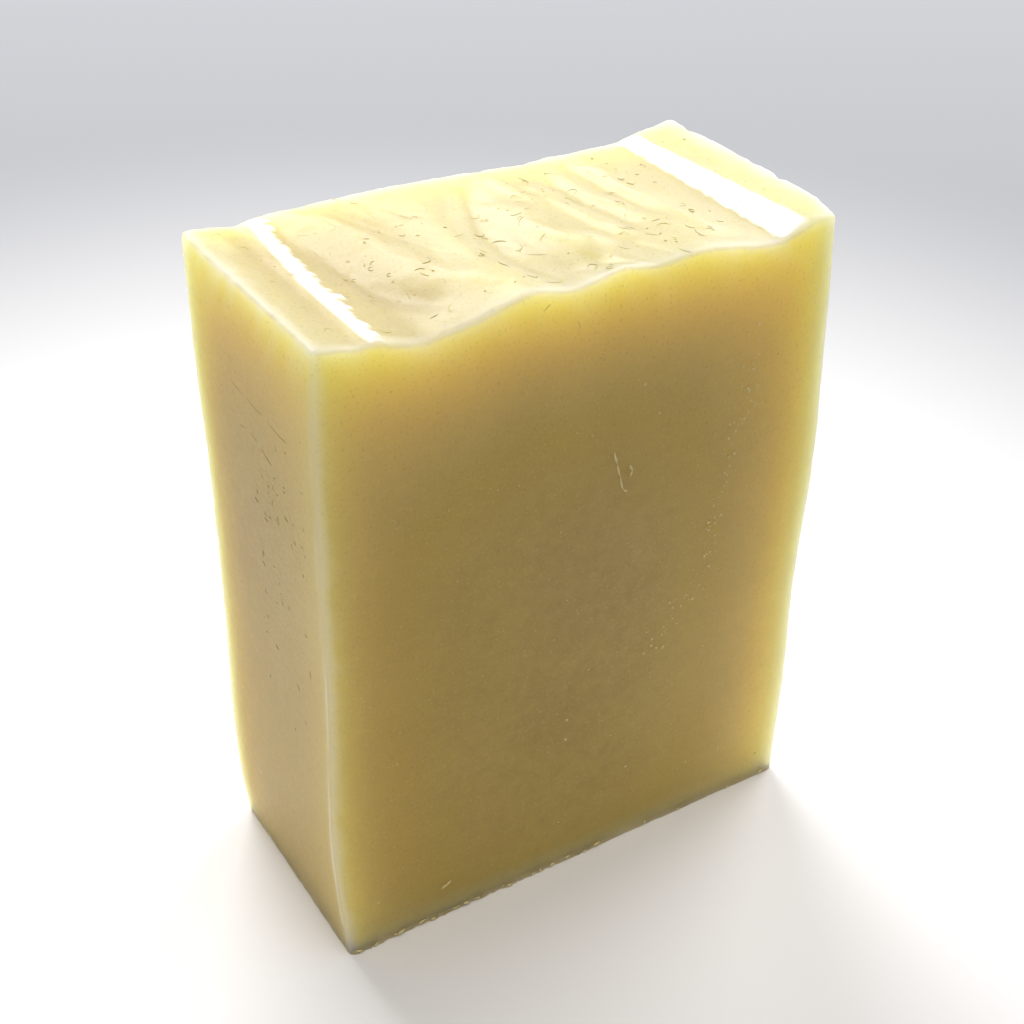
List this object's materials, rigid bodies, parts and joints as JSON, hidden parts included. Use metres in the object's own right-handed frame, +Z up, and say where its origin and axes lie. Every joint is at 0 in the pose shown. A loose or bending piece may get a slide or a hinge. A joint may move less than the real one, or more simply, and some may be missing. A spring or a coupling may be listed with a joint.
{
  "type": "bar of soap",
  "caption": "Upright block of pale yellow handmade soap with flat cut faces, bevelled edges, a gently bowed moulded side at each end and an uneven poured top.",
  "frame": {"origin": "middle of the base that the bar stands on, at the middle of its overall width and thickness", "axes": "+Z up to the poured top, +Y through the cut thickness away from the front cut face, +X across the width to the right seen from the front"},
  "size_m": [0.0652, 0.03, 0.0808],
  "materials": {
    "soap": "waxy, translucent cured soap, between satin and matte"
  },
  "bodies": {
    "root": {"soap_bar": "soap"}
  },
  "joints": []
}
